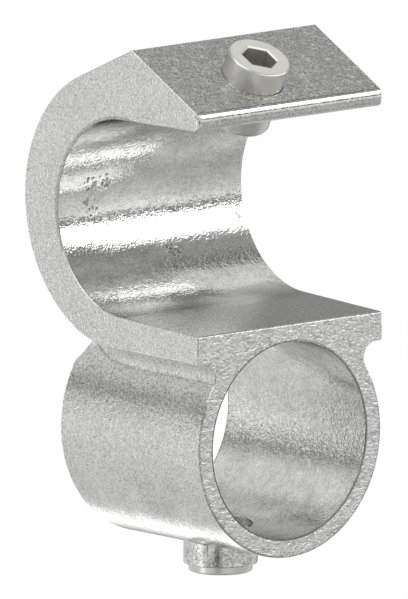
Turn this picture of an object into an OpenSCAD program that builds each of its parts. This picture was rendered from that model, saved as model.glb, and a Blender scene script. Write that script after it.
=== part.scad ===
// Open-type cross tube clamp for two round tubes that cross at a right angle.
// One iron casting carries a closed collar for the lower tube, along Y, and an open saddle for the
// upper tube, along X. A set screw in each holds its tube.
// The origin is the centre of the collar's bore at mid length, +Z up, and the saddle opens to -Y.

/* [Tubes] */
// Bore of the closed collar
collar_bore_d = 50; // [46:0.5:56]
// Inside diameter of the open saddle
saddle_d = 50; // [46:0.5:56]
// Least metal between the two tubes
tube_gap = 5.5; // [4.5:0.1:8]
// Distance of the saddle's axis behind the collar's mid length
saddle_back = 2.6; // [0:0.1:4]

/* [Collar] */
// Length of the collar along its bore
collar_len = 53.8; // [50:0.2:60]
// Wall of the collar
collar_wall = 4.65; // [3.5:0.05:7]
// Chamfer at both mouths of the bore
bore_chamfer = 0.15; // [0.1:0.05:1]
// Rounding of the collar's outer rims
rim_r = 0.4; // [0.2:0.1:1.2]

/* [Saddle] */
// Width of the saddle along its tube
saddle_w = 60; // [50:0.5:70]
// Metal under the lowest line of the saddle
floor_t = 8.45; // [7:0.05:11]
// Metal behind the rearmost line of the saddle
back_t = 12.75; // [11:0.05:16]
// How much larger the outer back radius is than the saddle's own
back_r_extra = 10.2; // [9:0.1:12]
// Height of the ridge above the top line of the saddle
ridge_up = 18.25; // [15:0.05:22]
// Distance of the ridge in front of the saddle's axis
ridge_fwd = 3.8; // [1:0.1:6]
// Slope of the flat that runs from the ridge down to the lip
flat_slope = 27.1; // [20:0.1:30]
// Slope of the saddle's floor down towards the mouth
floor_draft = 2; // [0.5:0.25:3]
// Slope of the saddle's roof up towards the mouth
roof_draft = 1.75; // [0.5:0.25:3]
// Reach of the lip past the collar's front
lip_fwd = 0.7; // [0.2:0.1:3]
// Rounding of the lip's two upright corners
lip_corner_r = 1.4; // [0.4:0.1:2]
// Rounding of the lip's upper edge
lip_top_r = 1.9; // [0.4:0.1:2]
// Rounding of the lip's lower edge
lip_low_r = 2.3; // [0.5:0.1:2.4]
// Rounding of the ridge and of the floor's front edges
edge_r = 0.5; // [0.2:0.1:1]

/* [Neck] */
// Fillet between the collar and the underside of the saddle
neck_r = 4; // [2:0.25:5]
// Rounding of the lower side edges of the saddle
side_edge_r = 1; // [0.4:0.1:1.5]
// Radius of the scallop in the collar's rear end, below the saddle's back
scallop_r = 6.5; // [5:0.5:10]
// Depth of the scallop
scallop_deep = 2.2; // [1:0.1:3]
// Height of the scallop's straight part below the collar's outer top
scallop_down = 8.8; // [7:0.1:12]

/* [Boss] */
// Diameter of the boss round the collar's set screw
boss_d = 18.6; // [18:0.1:24]
// Height of the boss below the collar
boss_h = 4.75; // [2:0.05:8]
// Rounding of the boss's lower edge
boss_edge_r = 0.4; // [0.2:0.1:1]

/* [Set screws] */
// Diameter of both set screws
screw_d = 16; // [12:0.5:16]
// Gap between a set screw and its hole, all round
screw_gap = 0.05; // [0.02:0.01:0.1]
// Length of the saddle's set screw
saddle_screw_len = 19.7; // [18:0.1:22]
// How far the saddle's set screw stands proud of the flat
saddle_screw_proud = 6.2; // [3:0.1:7]
// Distance of the saddle's set screw from the ridge, down the flat
saddle_screw_down = 17; // [15:0.1:18]
// Distance of the saddle's set screw from the middle of the saddle, to -X
saddle_screw_side = 3.2; // [0:0.1:6]
// Length of the collar's set screw
collar_screw_len = 11; // [9:0.1:11.2]
// How far the collar's set screw stands proud of the boss
collar_screw_proud = 2; // [1.9:0.1:4]
// Bevel at the clamping tip of a set screw
tip_bevel = 1.3; // [0.4:0.1:2]
// Bevel at the drive end of a set screw
drive_bevel = 0.25; // [0.15:0.05:0.8]
// Hex socket across the flats
hex_af = 8; // [6:0.5:9]
// Depth of the hex socket as a share of the screw's length
hex_share = 0.45; // [0.3:0.05:0.55]
// Depth of the drilled cone at the bottom of each socket
drill_cone = 1; // [0.5:0.1:2]
// Lead-in bevel of the hex socket
hex_bevel = 0.4; // [0.2:0.1:0.8]

/* [Hidden] */
$fn = 96;
// Surplus of a cutting shape past the face that it opens
over = 1;
casting_grey = [0.71, 0.72, 0.71];
screw_grey = [0.66, 0.65, 0.63];

// Collar
bore_r = collar_bore_d / 2;
collar_r = bore_r + collar_wall;
front_y = -collar_len / 2;
rear_y = collar_len / 2;

// Saddle, in the Y and Z of its side view
saddle_r = saddle_d / 2;
axis_y = saddle_back;
axis_z = bore_r + tube_gap + saddle_r;
floor_z = axis_z - saddle_r - floor_t;
back_r = saddle_r + back_r_extra;
back_y = axis_y + saddle_r + back_t - back_r;
back_z = floor_z + back_r;
ridge = [axis_y - ridge_fwd, axis_z + saddle_r + ridge_up];
lip_y = front_y - lip_fwd;
lip_top = [lip_y, ridge.y - (ridge.x - lip_y) * tan(flat_slope)];
// Where the straight rear slope leaves the ridge's line and meets the outer back radius
back_reach = norm(ridge - [back_y, back_z]);
back_angle = atan2(ridge.y - back_z, ridge.x - back_y) - acos(back_r / back_reach);
slope_end = [back_y + back_r * cos(back_angle), back_z + back_r * sin(back_angle)];
// Tangent points of the mouth's floor and roof on the saddle's circle
floor_touch = [axis_y + saddle_r * sin(floor_draft), axis_z - saddle_r * cos(floor_draft)];
roof_touch = [axis_y + saddle_r * sin(roof_draft), axis_z + saddle_r * cos(roof_draft)];
mouth_y = lip_y - over;
floor_lip = [front_y, floor_touch.y - (floor_touch.x - front_y) * tan(floor_draft)];
roof_lip = [lip_y, roof_touch.y + (roof_touch.x - lip_y) * tan(roof_draft)];
mouth_low = [mouth_y, floor_touch.y - (floor_touch.x - mouth_y) * tan(floor_draft)];
mouth_top = [mouth_y, roof_touch.y + (roof_touch.x - mouth_y) * tan(roof_draft)];

// Neck: each fillet is the path of a ball that rolls along collar and saddle. Its middle lies a
// little nearer to both than its radius, so that the fillet meets them at a shallow angle
ball_share = 0.975;
ball_off = neck_r * ball_share;
ball_z = floor_z - ball_off;
ball_x = sqrt(pow(collar_r + ball_off, 2) - ball_z * ball_z);
// Behind the saddle's axis the ball follows the round back, here by its angle from straight down
ball_turn = asin((collar_len / 2 - back_y) / (back_r + ball_off));
turn_steps = 9;
arc_steps = 8;
// Depth to which the fillet's solid reaches into collar and saddle
sunk = 1.5;
function ball_at(a) = let (z = back_z - (back_r + ball_off) * cos(a))
    [sqrt(pow(collar_r + ball_off, 2) - z * z), back_y + (back_r + ball_off) * sin(a), z];
// Directions from the ball's middle to where it touches the collar and the round back
function to_collar(c) = -[c.x, 0, c.z] / norm([c.x, 0, c.z]);
function to_back(c) = c.y < back_y ? [0, 0, 1]
    : [0, back_y - c.y, back_z - c.z] / norm([0, back_y - c.y, back_z - c.z]);
function between(u, v, t) = let (w = acos(u * v)) (u * sin(w - w * t) + v * sin(w * t)) / sin(w);
function fillet_row(c, r) = let (u = to_collar(c), v = to_back(c)) concat(
    [c + u * (neck_r + sunk)],
    [for (k = [0:arc_steps]) c + r * between(u, v, k / arc_steps)],
    [c + v * (neck_r + sunk)]);

// Boss and set screws
boss_z = -(collar_r + boss_h);
screw_r = screw_d / 2;
hole_r = screw_r + screw_gap;
saddle_screw_at = [-saddle_screw_side, ridge.x - saddle_screw_down * cos(flat_slope),
                   ridge.y - saddle_screw_down * sin(flat_slope)];

// Removes the tip of a corner at p, between the directions of its neighbours a and b, down to a
// true arc of radius r
module corner_cut(p, a, b, r) {
    to_a = (a - p) / norm(a - p);
    to_b = (b - p) / norm(b - p);
    half = acos(to_a * to_b) / 2;
    mid = (to_a + to_b) / norm(to_a + to_b);
    difference() {
        polygon([p - mid * r, p + to_a * r / tan(half), p + to_b * r / tan(half)]);
        translate(p + mid * r / sin(half)) circle(r = r);
    }
}

// Stands a side view in Y and Z up and gives it the width w along X, centred
module from_side(w) {
    rotate([90, 0, 90]) translate([0, 0, -w / 2]) linear_extrude(w) children();
}

// Side view of the saddle without its mouth
module saddle_outline() {
    difference() {
        union() {
            intersection() {
                translate([back_y, back_z]) circle(r = back_r);
                translate([back_y, floor_z - over]) square(2 * back_r);
            }
            polygon([slope_end, ridge, lip_top, [lip_y, axis_z], [front_y, axis_z],
                     [front_y, floor_z], [back_y, floor_z], [back_y, back_z]]);
        }
        corner_cut(ridge, slope_end, lip_top, edge_r);
        corner_cut(lip_top, ridge, roof_lip, lip_top_r);
        corner_cut([front_y, floor_z], floor_lip, [back_y, floor_z], edge_r);
    }
}

// The saddle before its mouth is cut, with its lower side edges and its lip's corners rounded
module saddle_block() {
    side = saddle_w / 2;
    difference() {
        from_side(saddle_w) saddle_outline();
        rotate([90, 0, 0]) translate([0, 0, -back_y - back_r]) linear_extrude(2 * back_r + saddle_d)
            for (s = [0, 1]) mirror([s, 0])
                corner_cut([side, floor_z], [0, floor_z], [side, axis_z], side_edge_r);
        translate([0, 0, axis_z]) linear_extrude(back_r + saddle_r)
            for (s = [0, 1]) mirror([s, 0])
                corner_cut([side, lip_y], [0, lip_y], [side, 0], lip_corner_r);
    }
}

// The saddle's round seat and its mouth, cut right across
module saddle_mouth() {
    from_side(saddle_w + 2 * over) {
        translate([axis_y, axis_z]) circle(r = saddle_r);
        polygon([floor_touch, mouth_low, mouth_top, roof_touch, [axis_y, axis_z]]);
        corner_cut(roof_lip, lip_top, roof_touch, lip_low_r);
        corner_cut(floor_lip, floor_touch, [front_y, floor_z], edge_r);
    }
}

// Ring of the collar with rounded outer rims, along Y
module collar_ring() {
    rotate([90, 0, 0]) rotate_extrude()
        difference() {
            translate([bore_r - over, front_y]) square([collar_wall + over, collar_len]);
            for (s = [-1, 1])
                corner_cut([collar_r, s * collar_len / 2], [bore_r, s * collar_len / 2],
                           [collar_r, 0], rim_r);
        }
}

// Neck between collar and saddle: its fillets run straight from the front to the saddle's rear
// half and climb with the round back from there
module neck() {
    rows = concat([fillet_row([ball_x, front_y, ball_z], neck_r + rim_r / 2),
                   fillet_row([ball_x, front_y + rim_r / 2, ball_z], neck_r)],
                  [for (i = [0:turn_steps]) fillet_row(ball_at(ball_turn * i / turn_steps), neck_r)]);
    n = len(rows[0]);
    last = len(rows) - 1;
    right = [for (row = rows) each row];
    left = [for (p = right) [-p.x, p.y, p.z]];
    all = len(right);
    polyhedron(points = concat(right, left), faces = concat(
        [for (i = [0:last - 1], k = [0:n - 2]) each
            let (p = i * n + k) [[p, p + 1, p + n], [p + 1, p + n + 1, p + n]]],
        [for (i = [0:last - 1], k = [0:n - 2]) each
            let (p = all + i * n + k) [[p, p + n, p + 1], [p + 1, p + n, p + n + 1]]],
        [for (i = [0:last - 1]) let (p = i * n) [p, p + n, all + p + n, all + p]],
        [for (i = [0:last - 1]) let (p = i * n + n - 1) [p, all + p, all + p + n, p + n]],
        [for (k = [0:n - 2]) [k, all + k, all + k + 1, k + 1]],
        [for (k = [0:n - 2]) let (p = last * n + k) [p, p + 1, all + p + 1, all + p]]));
}

// Scallop that thins the rear of the collar below the saddle's back
module rear_scallop() {
    z = collar_r - scallop_down;
    y = rear_y - scallop_deep;
    from_side(2 * collar_r + 2 * over) {
        translate([y + scallop_r, z]) circle(r = scallop_r);
        translate([y, z]) square([scallop_r, axis_z - z]);
    }
}

module boss() {
    rotate_extrude() difference() {
        translate([0, boss_z]) square([boss_d / 2, boss_h + collar_wall + over]);
        corner_cut([boss_d / 2, boss_z], [0, boss_z], [boss_d / 2, 0], boss_edge_r);
    }
}

module collar_bore() {
    rotate([90, 0, 0]) rotate_extrude()
        polygon([[0, front_y - over], [bore_r + bore_chamfer + over, front_y - over],
                 [bore_r, front_y + bore_chamfer], [bore_r, rear_y - bore_chamfer],
                 [bore_r + bore_chamfer + over, rear_y + over], [0, rear_y + over]]);
}

// Places its children with +Z out of the flat, along the saddle screw's axis
module on_flat() {
    translate(saddle_screw_at) rotate([flat_slope, 0, 0]) children();
}

module clamp_casting() {
    color(casting_grey) difference() {
        union() {
            saddle_block();
            difference() {
                union() {
                    collar_ring();
                    neck();
                }
                rear_scallop();
            }
            boss();
        }
        collar_bore();
        saddle_mouth();
        on_flat() translate([0, 0, -saddle_screw_len]) cylinder(r = hole_r, h = 2 * saddle_screw_len);
        translate([0, 0, boss_z - over]) cylinder(r = hole_r, h = over + boss_h + collar_wall + bore_r);
    }
}

// Hex socket set screw with its drive end at the origin and its flat tip down
module set_screw(length) {
    depth = length * hex_share;
    hex_r = hex_af / 2 / cos(30);
    difference() {
        rotate_extrude()
            polygon([[0, 0], [screw_r - drive_bevel, 0], [screw_r, -drive_bevel],
                     [screw_r, tip_bevel - length], [screw_r - tip_bevel, -length], [0, -length]]);
        translate([0, 0, -depth]) rotate(30) cylinder(r = hex_r, h = depth + over, $fn = 6);
        translate([0, 0, -depth - drill_cone]) cylinder(r1 = 0, r2 = hex_af / 2, h = drill_cone);
        translate([0, 0, -hex_bevel]) cylinder(r1 = hex_r - hex_bevel, r2 = hex_r + over,
                                               h = hex_bevel + over);
    }
}

module saddle_set_screw() {
    color(screw_grey) on_flat() translate([0, 0, saddle_screw_proud]) set_screw(saddle_screw_len);
}

module collar_set_screw() {
    color(screw_grey) translate([0, 0, boss_z - collar_screw_proud]) mirror([0, 0, 1])
        set_screw(collar_screw_len);
}

clamp_casting();
saddle_set_screw();
collar_set_screw();
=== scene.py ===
"""Open cross tube clamp: a galvanised casting and two plated set screws with hexagon sockets."""

import math

import bmesh
import bpy
from mathutils import Matrix, Vector


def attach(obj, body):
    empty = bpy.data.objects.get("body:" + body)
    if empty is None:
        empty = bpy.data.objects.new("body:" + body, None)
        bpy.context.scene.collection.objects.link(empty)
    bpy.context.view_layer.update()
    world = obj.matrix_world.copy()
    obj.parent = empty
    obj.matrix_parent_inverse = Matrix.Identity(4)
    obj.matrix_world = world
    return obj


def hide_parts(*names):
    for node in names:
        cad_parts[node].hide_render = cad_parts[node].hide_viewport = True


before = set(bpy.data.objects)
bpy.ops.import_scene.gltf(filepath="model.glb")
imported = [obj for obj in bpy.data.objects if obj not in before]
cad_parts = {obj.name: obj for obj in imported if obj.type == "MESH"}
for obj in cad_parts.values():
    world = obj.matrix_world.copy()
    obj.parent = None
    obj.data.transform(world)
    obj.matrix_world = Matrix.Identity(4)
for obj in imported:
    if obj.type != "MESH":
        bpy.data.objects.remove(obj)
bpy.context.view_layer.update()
MM = 0.001

# ---- sizes of the casting ----
SADDLE_CENTRE = (0, 0.0026, 0.0555)  # metres
SLOPE_NORMAL = (0, -0.4555, 0.8902)  # of the jaw's sloping face
BORE_R = 25        # mm, as are the next five
NECK_FOOT = 11     # the neck's fillets lie between these two heights
NECK_TOP = 25.9
PLATE_CUT = 26     # height of a cut that parts the plate's corners from the fillets
REAR_RIM = 24      # y from which on the collar's rear rim lies
BOSS_TOP = -28.5
EASING = 0.3       # mm, width of the eased edges
EDGE_ANGLE = math.radians(24)     # an edge that turns by more is eased or kept sharp
FACET_ANGLE = math.radians(0.5)   # faces that differ by less are joined
WELD = 2e-6        # metres

# ---- sizes of the screws, in mm ----
SOCKET_HALF = 4.0     # half the hexagon's width across its flats
SOCKET_SHARE = 0.45   # the socket's depth as a share of the screw's length
SOCKET_CONE = 1.6     # depth of the drilled cone below the socket
RING_POINTS = 96
# piece, CAD node, body, length in mm, centre of the outer end in metres, direction into the casting
SCREWS = [
    ("saddle_screw_body", "saddle_set_screw", "saddle_screw", 19.7,
     (-0.0032, -0.01905, 0.09649), (0, 0.455545, -0.890213)),
    ("collar_screw_body", "collar_set_screw", "collar_screw", 11.0,
     (0, 0, -0.0364), (0, 0, 1)),
]

# ---- marks in the metal ----
# clusters of pits in the saddle: centre and radius, in metres
PITS = [
    ((-0.0197, 0.0272, 0.0599), 0.0024),
    ((-0.0152, 0.0271, 0.0602), 0.0024),
    ((-0.0194, 0.0276, 0.0543), 0.0028),
    ((0.0029, 0.0238, 0.0422), 0.0022),
    ((0.0046, 0.0227, 0.0406), 0.0018),
    ((0.0276, 0.0261, 0.0470), 0.0009),
]
# painted reflection: faint light and dark bands along the lip, where its rounded front mirrors the studio:
# height of one of them and distance between them, in metres
PAINTED_BAND_Z = 0.08318
PAINTED_BAND_GAP = 0.00106

# ---- stage and camera ----
FLOOR_Z = -0.12
FLOOR_R = 0.4
# the camera's axes, at azimuth -40 and elevation 9.8 degrees
RIGHT = Vector((0.7660, -0.6428, 0))
UP = Vector((0.1089, 0.1298, 0.9856))
BACK = Vector((-0.6335, -0.7550, 0.1697))
CAMERA_AT = (-4.101, 31.614, 700)  # mm along these axes
PX_PER_MM = 4.005
PHOTO_HEIGHT = 599

# ---- the studio that the metal mirrors ----
STUDIO = 0.8     # overall level
PLAIN = 0.8      # level all round for diffuse rays
WHITE = 1.0      # level all round for the camera
DARKEST = 0.1    # level that no panel goes below
AHEAD = 0.02     # cosine from which on a direction counts as on a panel's side
# height, from -1 to 1, and level
WORLD_LEVELS = [
    (-1, 0.45), (-0.8, 0.5), (-0.68, 0.95), (-0.3, 0.98), (-0.08, 1.0), (0.01, 1.45), (0.07, 1.0),
    (0.12, 0.58), (0.28, 0.6), (0.38, 0.75), (0.5, 1.05), (0.68, 1.0), (0.78, 0.65), (1, 0.65),
]
# soft boxes and shaded panels: direction, half width, half height, softness, added level
PANELS = [
    ((0.6335, -0.69, 0.351), 0.6, 0.19, 0.04, 2.3),
    ((0.6335, -0.36, 0.69), 0.3, 0.25, 0.08, -0.44),
    ((0.12, 0.755, 0.645), 0.16, 0.09, 0.06, -0.35),
    ((0.75, 0.62, -0.15), 0.3, 0.22, 0.12, -0.65),
    ((0.63, 0.74, 0.3), 0.35, 0.25, 0.1, -0.3),
    ((0.6335, -0.74, 0.09), 0.6, 0.05, 0.04, -0.4),
    ((-0.74, -0.65, -0.14), 0.16, 0.3, 0.15, -0.75),
    ((-0.06, -0.86, 0.5), 0.22, 0.14, 0.08, 1.6),
    ((0.63, -0.62, -0.46), 0.6, 0.25, 0.2, -0.3),
    ((-0.5, -0.05, 0.85), 0.45, 0.45, 0.08, 1.6),
    ((0.34, 0.755, -0.55), 0.16, 0.09, 0.05, 1.3),
    ((-0.93, 0.3, -0.1), 0.12, 0.6, 0.05, 1.5),
    ((-0.62, 0.755, 0.22), 0.25, 0.07, 0.03, -0.28),
    ((-0.653, 0.755, 0.045), 0.25, 0.06, 0.03, 0.5),
    ((0.6335, 0.55, 0.53), 0.4, 0.12, 0.05, -0.33),
    ((0.6335, 0.17, 0.755), 0.4, 0.06, 0.04, 0.25),
    ((0.6335, -0.42, 0.6), 0.3, 0.05, 0.04, -0.12),
]
# the lamp that gives the floor the object's shadow
LAMP_AT = Vector((-0.5, -0.4, 1.1))
LAMP_SIZE = 0.6
LAMP_WATTS = 1.2


# ---- helpers ----
def new_object(name, bm, smooth=False):
    """An object in the scene with the mesh from bm, which is freed; smooth shades all its faces smooth."""
    mesh = bpy.data.meshes.new(name)
    bm.to_mesh(mesh)
    bm.free()
    if smooth:
        for poly in mesh.polygons:
            poly.use_smooth = True
    obj = bpy.data.objects.new(name, mesh)
    bpy.context.scene.collection.objects.link(obj)
    return obj


def new_material(name):
    """A material and the Nodes that fill it."""
    mat = bpy.data.materials.new(name)
    mat.use_nodes = True
    return mat, Nodes(mat.node_tree)


class Nodes:
    """Shorthand for building a node tree. Each value is a socket or a number."""

    def __init__(self, tree):
        self.tree = tree
        tree.nodes.clear()

    def add(self, kind, ins=None, **props):
        node = self.tree.nodes.new(kind)
        for key, value in props.items():
            setattr(node, key, value)
        for key, value in (ins or {}).items():
            if isinstance(value, bpy.types.NodeSocket):
                self.tree.links.new(value, node.inputs[key])
            else:
                node.inputs[key].default_value = value
        return node

    def math(self, operation, *values):
        return self.add("ShaderNodeMath", dict(enumerate(values)), operation=operation).outputs[0]

    def times(self, product, *values):
        for value in values:
            product = self.math("MULTIPLY", product, value)
        return product

    def most(self, largest, *values):
        for value in values:
            largest = self.math("MAXIMUM", largest, value)
        return largest

    def plus(self, total, *terms):
        """total plus each term, a pair of a value and its factor."""
        for value, factor in terms:
            total = self.math("MULTIPLY_ADD", value, factor, total)
        return total

    def less(self, value, amount=0.5):
        return self.math("SUBTRACT", value, amount)

    def rest(self, mask):
        """The mask of all that mask leaves."""
        return self.math("SUBTRACT", 1.0, mask)

    def step(self, value, start, end, interpolation="SMOOTHSTEP"):
        """0 up to start and 1 from end on; where start is more than end, the other way round."""
        return self.add("ShaderNodeMapRange", {0: value, 1: start, 2: end, 3: 0.0, 4: 1.0},
                        interpolation_type=interpolation).outputs[0]

    def ramp(self, value, *stops):
        """A grey ramp; each stop is a place and a level."""
        node = self.add("ShaderNodeValToRGB", {0: value})
        elements = node.color_ramp.elements
        while len(elements) < len(stops):
            elements.new(0.5)
        for element, (place, level) in zip(elements, stops):
            element.position = place
            element.color = (level, level, level, 1)
        return node.outputs[0]

    def vector(self, operation, *values):
        """Vector Math; a dot product, a distance or a length is a number."""
        node = self.add("ShaderNodeVectorMath", dict(enumerate(values)), operation=operation)
        return node.outputs["Value" if operation in ("DOT_PRODUCT", "DISTANCE", "LENGTH") else "Vector"]

    def combine(self, x=0.0, y=0.0, z=0.0):
        return self.add("ShaderNodeCombineXYZ", {"X": x, "Y": y, "Z": z}).outputs[0]

    def dot(self, vector, axis):
        return self.vector("DOT_PRODUCT", vector, axis)

    def noise(self, vector, scale, detail=3.0, rough=0.5, distortion=0.0):
        node = self.add("ShaderNodeTexNoise", {"Vector": vector, "Scale": scale, "Detail": detail,
                                               "Roughness": rough, "Distortion": distortion})
        return node.outputs["Fac"]

    def metal(self, level, tint, roughness, bump):
        """The surface: metal of that level, with green and blue in the proportions of tint to red."""
        green, blue = (self.times(level, share) for share in tint)
        colour = self.add("ShaderNodeCombineColor", {0: level, 1: green, 2: blue}).outputs[0]
        shader = self.add("ShaderNodeBsdfPrincipled", {"Base Color": colour, "Metallic": 1.0,
                                                       "Roughness": roughness, "Normal": bump.outputs[0]})
        self.add("ShaderNodeOutputMaterial", {"Surface": shader.outputs[0]})


# ---- the casting: the CAD mesh with its edges eased ----
def tight(vert):
    """True where short edges leave no room for easing: the neck's fillets, the collar's rear rim, the boss."""
    x, y, z = vert.co / MM
    at_bore = abs(math.hypot(x, z) - BORE_R) < 0.5
    return not at_bore and (z < BOSS_TOP or (z < NECK_TOP and (z > NECK_FOOT or y > REAR_RIM)))


def build_casting():
    bm = bmesh.new()
    bm.from_mesh(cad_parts["clamp_casting"].data)
    bmesh.ops.remove_doubles(bm, verts=bm.verts, dist=WELD)
    bmesh.ops.dissolve_limit(bm, angle_limit=FACET_ANGLE, verts=bm.verts, edges=bm.edges)
    bmesh.ops.bisect_plane(bm, geom=bm.verts[:] + bm.edges[:] + bm.faces[:], dist=1e-7,
                           plane_co=(0, 0, PLATE_CUT * MM), plane_no=(0, 0, 1))
    weights = bm.edges.layers.float.new("bevel_weight_edge")
    for edge in bm.edges:
        if edge.calc_face_angle(0) > EDGE_ANGLE:
            if any(tight(vert) for vert in edge.verts):
                edge.smooth = False
            else:
                edge[weights] = 1.0
    obj = new_object("casting", bm, smooth=True)
    bevel = obj.modifiers.new("edges", "BEVEL")
    bevel.width = EASING * MM
    bevel.segments = 3
    bevel.limit_method = "WEIGHT"
    bevel.use_clamp_overlap = False
    normals = obj.modifiers.new("normals", "WEIGHTED_NORMAL")
    normals.mode = "FACE_AREA"
    normals.keep_sharp = True
    return obj


def painted_dark_rims(n, x, y, z, from_bore, from_saddle):
    """Mask of painted reflections: dark strokes along some rims of the front and left faces, where the eased
    edges mirror dark parts of the studio, 1.4 at the bore's mouth.
    """
    collar = n.times(n.step(y, -0.0265, -0.0267), n.step(z, 0.013, 0.011), n.step(from_bore, 0.0289, 0.0293))
    corner = n.times(n.step(y, -0.0266, -0.0268), n.step(x, -0.0297, -0.0299), n.step(z, 0.0296, 0.0294))
    mouth = n.times(n.step(y, -0.0264, -0.0266), n.step(from_bore, 0.0255, 0.0252), 1.4)
    brink = n.times(n.step(from_saddle, 0.0261, 0.0256), n.step(z, 0.042, 0.046))
    ledge = n.times(n.step(z, 0.0311, 0.0314), n.step(z, 0.037, 0.035), n.step(y, 0.011, 0.009))
    left = n.step(x, -0.0296, -0.0298)
    return n.most(collar, corner, mouth, n.times(left, n.most(brink, ledge)))


def pitted(n, where):
    """Mask of the small pits in the saddle's clusters."""
    clusters = [n.step(n.vector("DISTANCE", where, centre), radius, radius * 0.7) for centre, radius in PITS]
    dots = n.add("ShaderNodeTexVoronoi", {"Vector": where, "Scale": 900.0}).outputs["Distance"]
    return n.times(n.most(*clusters), n.step(dots, 0.5, 0.36))


def rolled_normal(n, facing, y, z):
    """The normal before the bump: the upper edge of the lip rolls over slowly towards its front."""
    roll = n.times(n.step(z, 0.0843, 0.0851, "LINEAR"), n.step(z, 0.08575, 0.08535),
                   n.step(y, -0.0255, -0.0260))
    return n.vector("NORMALIZE", n.vector("ADD", facing, n.combine(y=n.times(roll, -1.0))))


def cast_metal():
    """Hot dip galvanised iron: bright skin with orange peel, coarse on the sloping face, fine in the bores."""
    mat, n = new_material("galvanised_casting")
    where = n.add("ShaderNodeTexCoord").outputs["Object"]
    facing = n.add("ShaderNodeNewGeometry").outputs["Normal"]
    x, y, z = n.add("ShaderNodeSeparateXYZ", {0: where}).outputs
    from_bore = n.vector("LENGTH", n.combine(x=x, z=z))
    from_saddle = n.vector("DISTANCE", n.combine(y=y, z=z), SADDLE_CENTRE)
    from_boss = n.vector("LENGTH", n.combine(x=x, y=y))

    # masks of the faces, by place and by the way they face
    saddle = n.step(from_saddle, 0.0256, 0.0252)
    inner = n.most(saddle, n.step(from_bore, 0.0254, 0.0251))
    outer = n.rest(inner)
    lip = n.times(n.step(y, -0.0262, -0.0267), n.step(z, 0.078, 0.079))
    slope = n.times(n.step(n.dot(facing, SLOPE_NORMAL), 0.985, 0.995), outer)
    side = n.step(n.math("ABSOLUTE", n.dot(facing, (1, 0, 0))), 0.9, 0.98)
    rear = n.times(n.step(n.dot(facing, (0, 1, 0)), 0.9, 0.98), n.step(z, 0.024, 0.022))
    # front takes in the collar's rear face, which has the same finish
    front = n.times(n.most(n.step(n.dot(facing, (0, -1, 0)), 0.9, 0.98), rear), outer, n.rest(lip))
    plate = n.times(n.step(n.dot(facing, (0, 0, 1)), 0.93, 0.995), n.step(z, 0.034, 0.031))
    boss = n.times(n.step(z, -0.0297, -0.0305), outer)
    flat = n.most(slope, plate, side, front)
    # the round outside, from the collar's lower half to below the ridge
    skin = n.times(n.step(z, -0.02, -0.002), outer, n.rest(flat), n.step(z, 0.075, 0.07))
    # painted light: the hollow under the plate and the wall of the lower screw's hole, made paler to lift the
    # shade that falls in them
    painted_light_hollow = n.times(n.step(z, 0.0195, 0.0212), n.step(z, 0.0232, 0.0226), n.times(n.rest(flat), outer))
    painted_light_hole = n.times(n.step(from_boss, 0.0083, 0.0081), n.step(z, 0.0, -0.02))

    # the noises, from broad to fine; those of drawn and stretched are longer along x
    drawn = n.vector("MULTIPLY", where, (0.4, 1.0, 1.0))
    stretched = n.vector("MULTIPLY", where, (0.55, 1.0, 1.0))
    cloud = n.noise(drawn, 110, 3.0, 0.6, 0.5)
    patch = n.noise(where, 150, 4.0, 0.65)
    broad = n.noise(where, 300, 2.0, 0.5)
    wave = n.noise(drawn, 420, 2.0, 0.6, 0.6)
    worm = n.noise(where, 680, 1.2, 0.5, 1.4)
    flow = n.noise(stretched, 900, 1.5, 0.5, 1.0)
    peel = n.noise(where, 1000, 1.0, 0.5, 0.8)
    fine = n.noise(where, 1500, 1.0, 0.5, 0.8)
    grain = n.noise(where, 2300, 0.0, 0.5, 0.4)
    crease = n.times(n.step(n.math("ABSOLUTE", n.less(worm)), 0.06, 0.0), slope)
    pits = pitted(n, where)

    # height of the surface, with the orange peel's depth by face
    depth = n.plus(0.24, (slope, 0.15), (side, 0.7), (front, 0.2), (skin, 0.15), (inner, 0.03),
                   (saddle, -0.05), (plate, -0.1), (lip, -0.16))
    relief = n.plus(n.times(n.plus(peel, (grain, 0.5)), depth),
                    (broad, n.plus(0.25, (n.most(saddle, lip), -0.12))),
                    (worm, n.times(slope, 2.6)),
                    (flow, n.times(front, 1.2)),
                    (crease, -0.35),
                    (pits, -1.2),
                    (wave, n.times(saddle, 0.25)))
    bump = n.add("ShaderNodeBump", {"Height": relief, "Strength": 1.0, "Distance": 0.0002,
                                    "Normal": rolled_normal(n, facing, y, z)})

    # the skin's tone varies at random, paler on its peaks and duller in its dips; in part these are painted
    # glints that stand in for the zinc's sparkle
    turn = 2 * math.pi / PAINTED_BAND_GAP
    painted_bands = n.math("COSINE", n.plus(-turn * PAINTED_BAND_Z, (z, turn), (n.less(broad), 3.0)))
    tone = n.plus(n.times(peel, 0.4),
                  (patch, 0.2),
                  (grain, 0.4),
                  (n.less(grain), n.times(n.less(outer, slope), 0.5)),
                  (n.less(worm), n.times(slope, 0.6)),
                  (n.less(flow), front),
                  (n.less(fine), n.plus(0.5, (slope, -0.35), (skin, 0.8))),
                  (n.less(wave), n.times(inner, 0.5)),
                  (n.less(worm, 0.6), n.times(boss, 1.2)),
                  # painted reflection: light and dark bands along the lip
                  (painted_bands, n.times(lip, 0.2)),
                  (crease, -0.42),
                  (pits, -1.0),
                  # painted shade: dark reflections painted along some rims
                  (painted_dark_rims(n, x, y, z, from_bore, from_saddle), -0.4),
                  (n.less(cloud), n.plus(0.6, (flat, -0.45))))
    tone = n.plus(0.5, (n.less(tone), n.plus(1.0, (plate, -0.75))))
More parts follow.
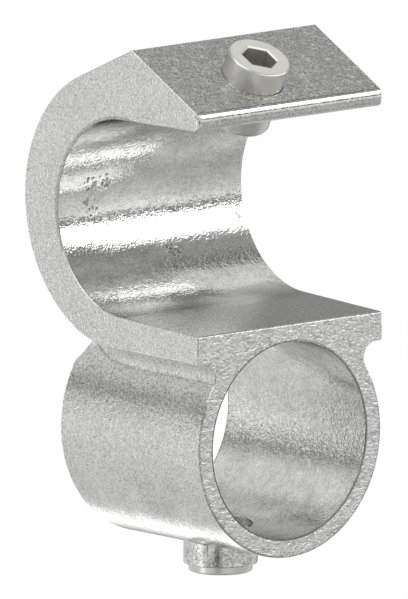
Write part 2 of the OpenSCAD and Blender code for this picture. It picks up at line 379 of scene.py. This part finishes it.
    # painted light and shade, face by face: the sloping face, the lip and the round outside a little darker,
    # the bores and the plate a little lighter, the hollow and the hole much lighter against the shade in them
    brightness_with_painted_light = n.plus(1.0, (slope, -0.06), (lip, -0.01), (inner, 0.06), (plate, 0.07), (skin, -0.06),
                   (painted_light_hollow, 0.5), (painted_light_hole, 0.5))
    level = n.math("MINIMUM", n.times(n.ramp(tone, (0.0, 0.34), (0.7, 0.76)), brightness_with_painted_light), 0.95)
    rough = n.ramp(n.noise(where, 700), (0.3, 0.10), (0.7, 0.18))
    rough = n.times(rough, n.plus(1.0, (n.most(inner, lip), -0.6)))
    rough = n.plus(rough, (n.most(plate, side, front), 0.14))
    n.metal(level, (1.0, 0.985), rough, bump)
    return mat


# ---- the set screws ----
def build_screw(name, length, head, inward):
    """A round set screw with a hexagon socket, the socket's flats across x; head is the centre of its top."""
    depth = length * SOCKET_SHARE
    # rings of points, as radius (half width for a hexagon) and depth below the top
    hexagons = [(SOCKET_HALF - 0.02, depth), (SOCKET_HALF, depth - 0.25), (SOCKET_HALF, 0.5),
                (SOCKET_HALF + 0.04, 0.34), (SOCKET_HALF + 0.38, 0.0)]
    circles = [(6.2, 0.0), (7.6, 0.0), (7.88, 0.24), (7.97, 0.36), (8.0, 0.55), (8.0, length - 1.6),
               (7.93, length - 1.25), (7.7, length - 0.85), (7.3, length - 0.45), (6.9, length - 0.2),
               (6.4, length - 0.05), (5.8, length)]
    socket_wall = (0, 1)    # bands between rings, counted from the socket's bottom
    flat_bands = (3, 4, 5)
    bm = bmesh.new()

    def ring(radius, z, hexagon=False):
        points = []
        for i in range(RING_POINTS):
            angle = 2 * math.pi * i / RING_POINTS
            from_flat = (angle + math.pi / 6) % (math.pi / 3) - math.pi / 6
            r = radius / math.cos(from_flat) if hexagon else radius
            points.append(bm.verts.new((r * math.cos(angle), r * math.sin(angle), -z)))
        return points

    bottom = bm.verts.new((0, 0, -(depth + SOCKET_CONE)))
    rings = [ring(r, z, hexagon=True) for r, z in hexagons] + [ring(r, z) for r, z in circles]
    tip = bm.verts.new((0, 0, -length))
    for i in range(RING_POINTS):
        j = (i + 1) % RING_POINTS
        bm.faces.new((bottom, rings[0][i], rings[0][j]))
        for band, (a, b) in enumerate(zip(rings, rings[1:])):
            face = bm.faces.new((a[i], b[i], b[j], a[j]))
            face.smooth = band not in flat_bands
            face.material_index = int(band in socket_wall)
        bm.faces.new((rings[-1][i], tip, rings[-1][j]))
    up = -Vector(inward)
    across = Vector((1, 0, 0))
    turn = Matrix((across, up.cross(across), up)).transposed().to_4x4()
    bmesh.ops.transform(bm, matrix=Matrix.Translation(head) @ turn @ Matrix.Scale(MM, 4), verts=bm.verts)
    bmesh.ops.recalc_face_normals(bm, faces=bm.faces)
    return new_object(name, bm)


def screw_metal(name, level):
    """Plated steel of that level, with painted light: paler on an end that lies like the sloping face, which
    faces the light from above.
    """
    mat, n = new_material(name)
    where = n.add("ShaderNodeTexCoord").outputs["Object"]
    facing = n.add("ShaderNodeNewGeometry").outputs["Normal"]
    fine = n.noise(where, 1800, 3.0, 0.6)
    bump = n.add("ShaderNodeBump", {"Height": fine, "Strength": 0.12, "Distance": 0.0001})
    # painted light: the end that lies like the sloping face is made paler
    end = n.step(n.dot(facing, SLOPE_NORMAL), 0.9, 0.98)
    brightness_with_painted_light = n.plus(level, (end, 0.25), (n.noise(where, 300, 3.0, 0.6), 0.1))
    n.metal(brightness_with_painted_light, (0.995, 0.945), 0.3, bump)
    return mat


# ---- stage, camera and light ----
def build_floor():
    bm = bmesh.new()
    bmesh.ops.create_circle(bm, cap_ends=True, radius=FLOOR_R, segments=64)
    bmesh.ops.translate(bm, verts=bm.verts, vec=(0, 0, FLOOR_Z))
    floor = new_object("floor", bm)
    mat, n = new_material("floor_paint")
    paint = n.add("ShaderNodeBsdfDiffuse", {"Color": (0.8, 0.8, 0.8, 1)})
    n.add("ShaderNodeOutputMaterial", {"Surface": paint.outputs[0]})
    floor.data.materials.append(mat)
    floor.visible_glossy = False
    return floor


def set_camera():
    camera = bpy.data.objects.new("camera", bpy.data.cameras.new("camera"))
    bpy.context.scene.collection.objects.link(camera)
    camera.data.type = "ORTHO"
    camera.data.sensor_fit = "AUTO"
    camera.data.ortho_scale = PHOTO_HEIGHT / PX_PER_MM * MM
    camera.data.clip_start = 0.01
    camera.data.clip_end = 10
    turn = Matrix((RIGHT, UP, BACK)).transposed().to_4x4()
    right, up, back = CAMERA_AT
    camera.matrix_world = Matrix.Translation((right * RIGHT + up * UP + back * BACK) * MM) @ turn
    bpy.context.scene.camera = camera


def set_world():
    """White to the camera, plain to a diffuse ray, and to a mirrored one a pale studio of soft panels."""
    world = bpy.data.worlds.new("studio")
    bpy.context.scene.world = world
    world.use_nodes = True
    world.cycles.sampling_method = "NONE"
    n = Nodes(world.node_tree)
    rays = n.add("ShaderNodeLightPath").outputs
    where = n.add("ShaderNodeTexCoord").outputs["Generated"]
    height = n.add("ShaderNodeSeparateXYZ", {0: where}).outputs["Z"]
    # the ramp runs from 0 to 1, the height from -1 to 1
    level = n.ramp(n.plus(0.5, (height, 0.5)), *[(0.5 + z / 2, v) for z, v in WORLD_LEVELS])
    for direction, half_width, half_height, soft, added in PANELS:
        centre = Vector(direction).normalized()
        side = Vector((0, 0, 1)).cross(centre).normalized()
        towards = n.dot(where, centre)
        ahead = n.most(towards, AHEAD)
        edges = []
        for axis, half in ((side, half_width), (centre.cross(side), half_height)):
            away = n.math("ABSOLUTE", n.math("DIVIDE", n.dot(where, axis), ahead))
            edges.append(n.step(away, half + soft, half - soft))
        mask = n.times(*edges, n.math("GREATER_THAN", towards, AHEAD))
        level = n.math("ADD", level, n.times(mask, added))
    level = n.times(n.most(level, DARKEST), STUDIO)
    studio, plain, white = (n.add("ShaderNodeBackground", {"Color": (1, 1, 1, 1), "Strength": strength})
                            for strength in (level, PLAIN, WHITE))
    mirrored = n.most(rays["Is Glossy Ray"], rays["Is Transmission Ray"])
    mix = n.add("ShaderNodeMixShader", {0: mirrored, 1: plain.outputs[0], 2: studio.outputs[0]})
    mix = n.add("ShaderNodeMixShader", {0: rays["Is Camera Ray"], 1: mix.outputs[0], 2: white.outputs[0]})
    n.add("ShaderNodeOutputWorld", {"Surface": mix.outputs[0]})


def add_lamp():
    lamp = bpy.data.lights.new("key", "AREA")
    lamp.shape = "DISK"
    lamp.size = LAMP_SIZE
    lamp.energy = LAMP_WATTS
    key = bpy.data.objects.new("key", lamp)
    key.matrix_world = Matrix.Translation(LAMP_AT) @ LAMP_AT.to_track_quat("Z", "Y").to_matrix().to_4x4()
    key.visible_glossy = False
    key.visible_camera = False
    bpy.context.scene.collection.objects.link(key)


casting = build_casting()
casting.data.materials.append(cast_metal())
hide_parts("clamp_casting")
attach(casting, "casting")

plated = screw_metal("plated_screw", 0.58)
socket = screw_metal("screw_socket", 0.64)
for name, node, body, length, head, inward in SCREWS:
    screw = build_screw(name, length, Vector(head), inward)
    screw.data.materials.append(plated)
    screw.data.materials.append(socket)
    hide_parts(node)
    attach(screw, body)

floor = build_floor()
set_camera()
set_world()
add_lamp()
bpy.context.scene.view_settings.view_transform = "Standard"
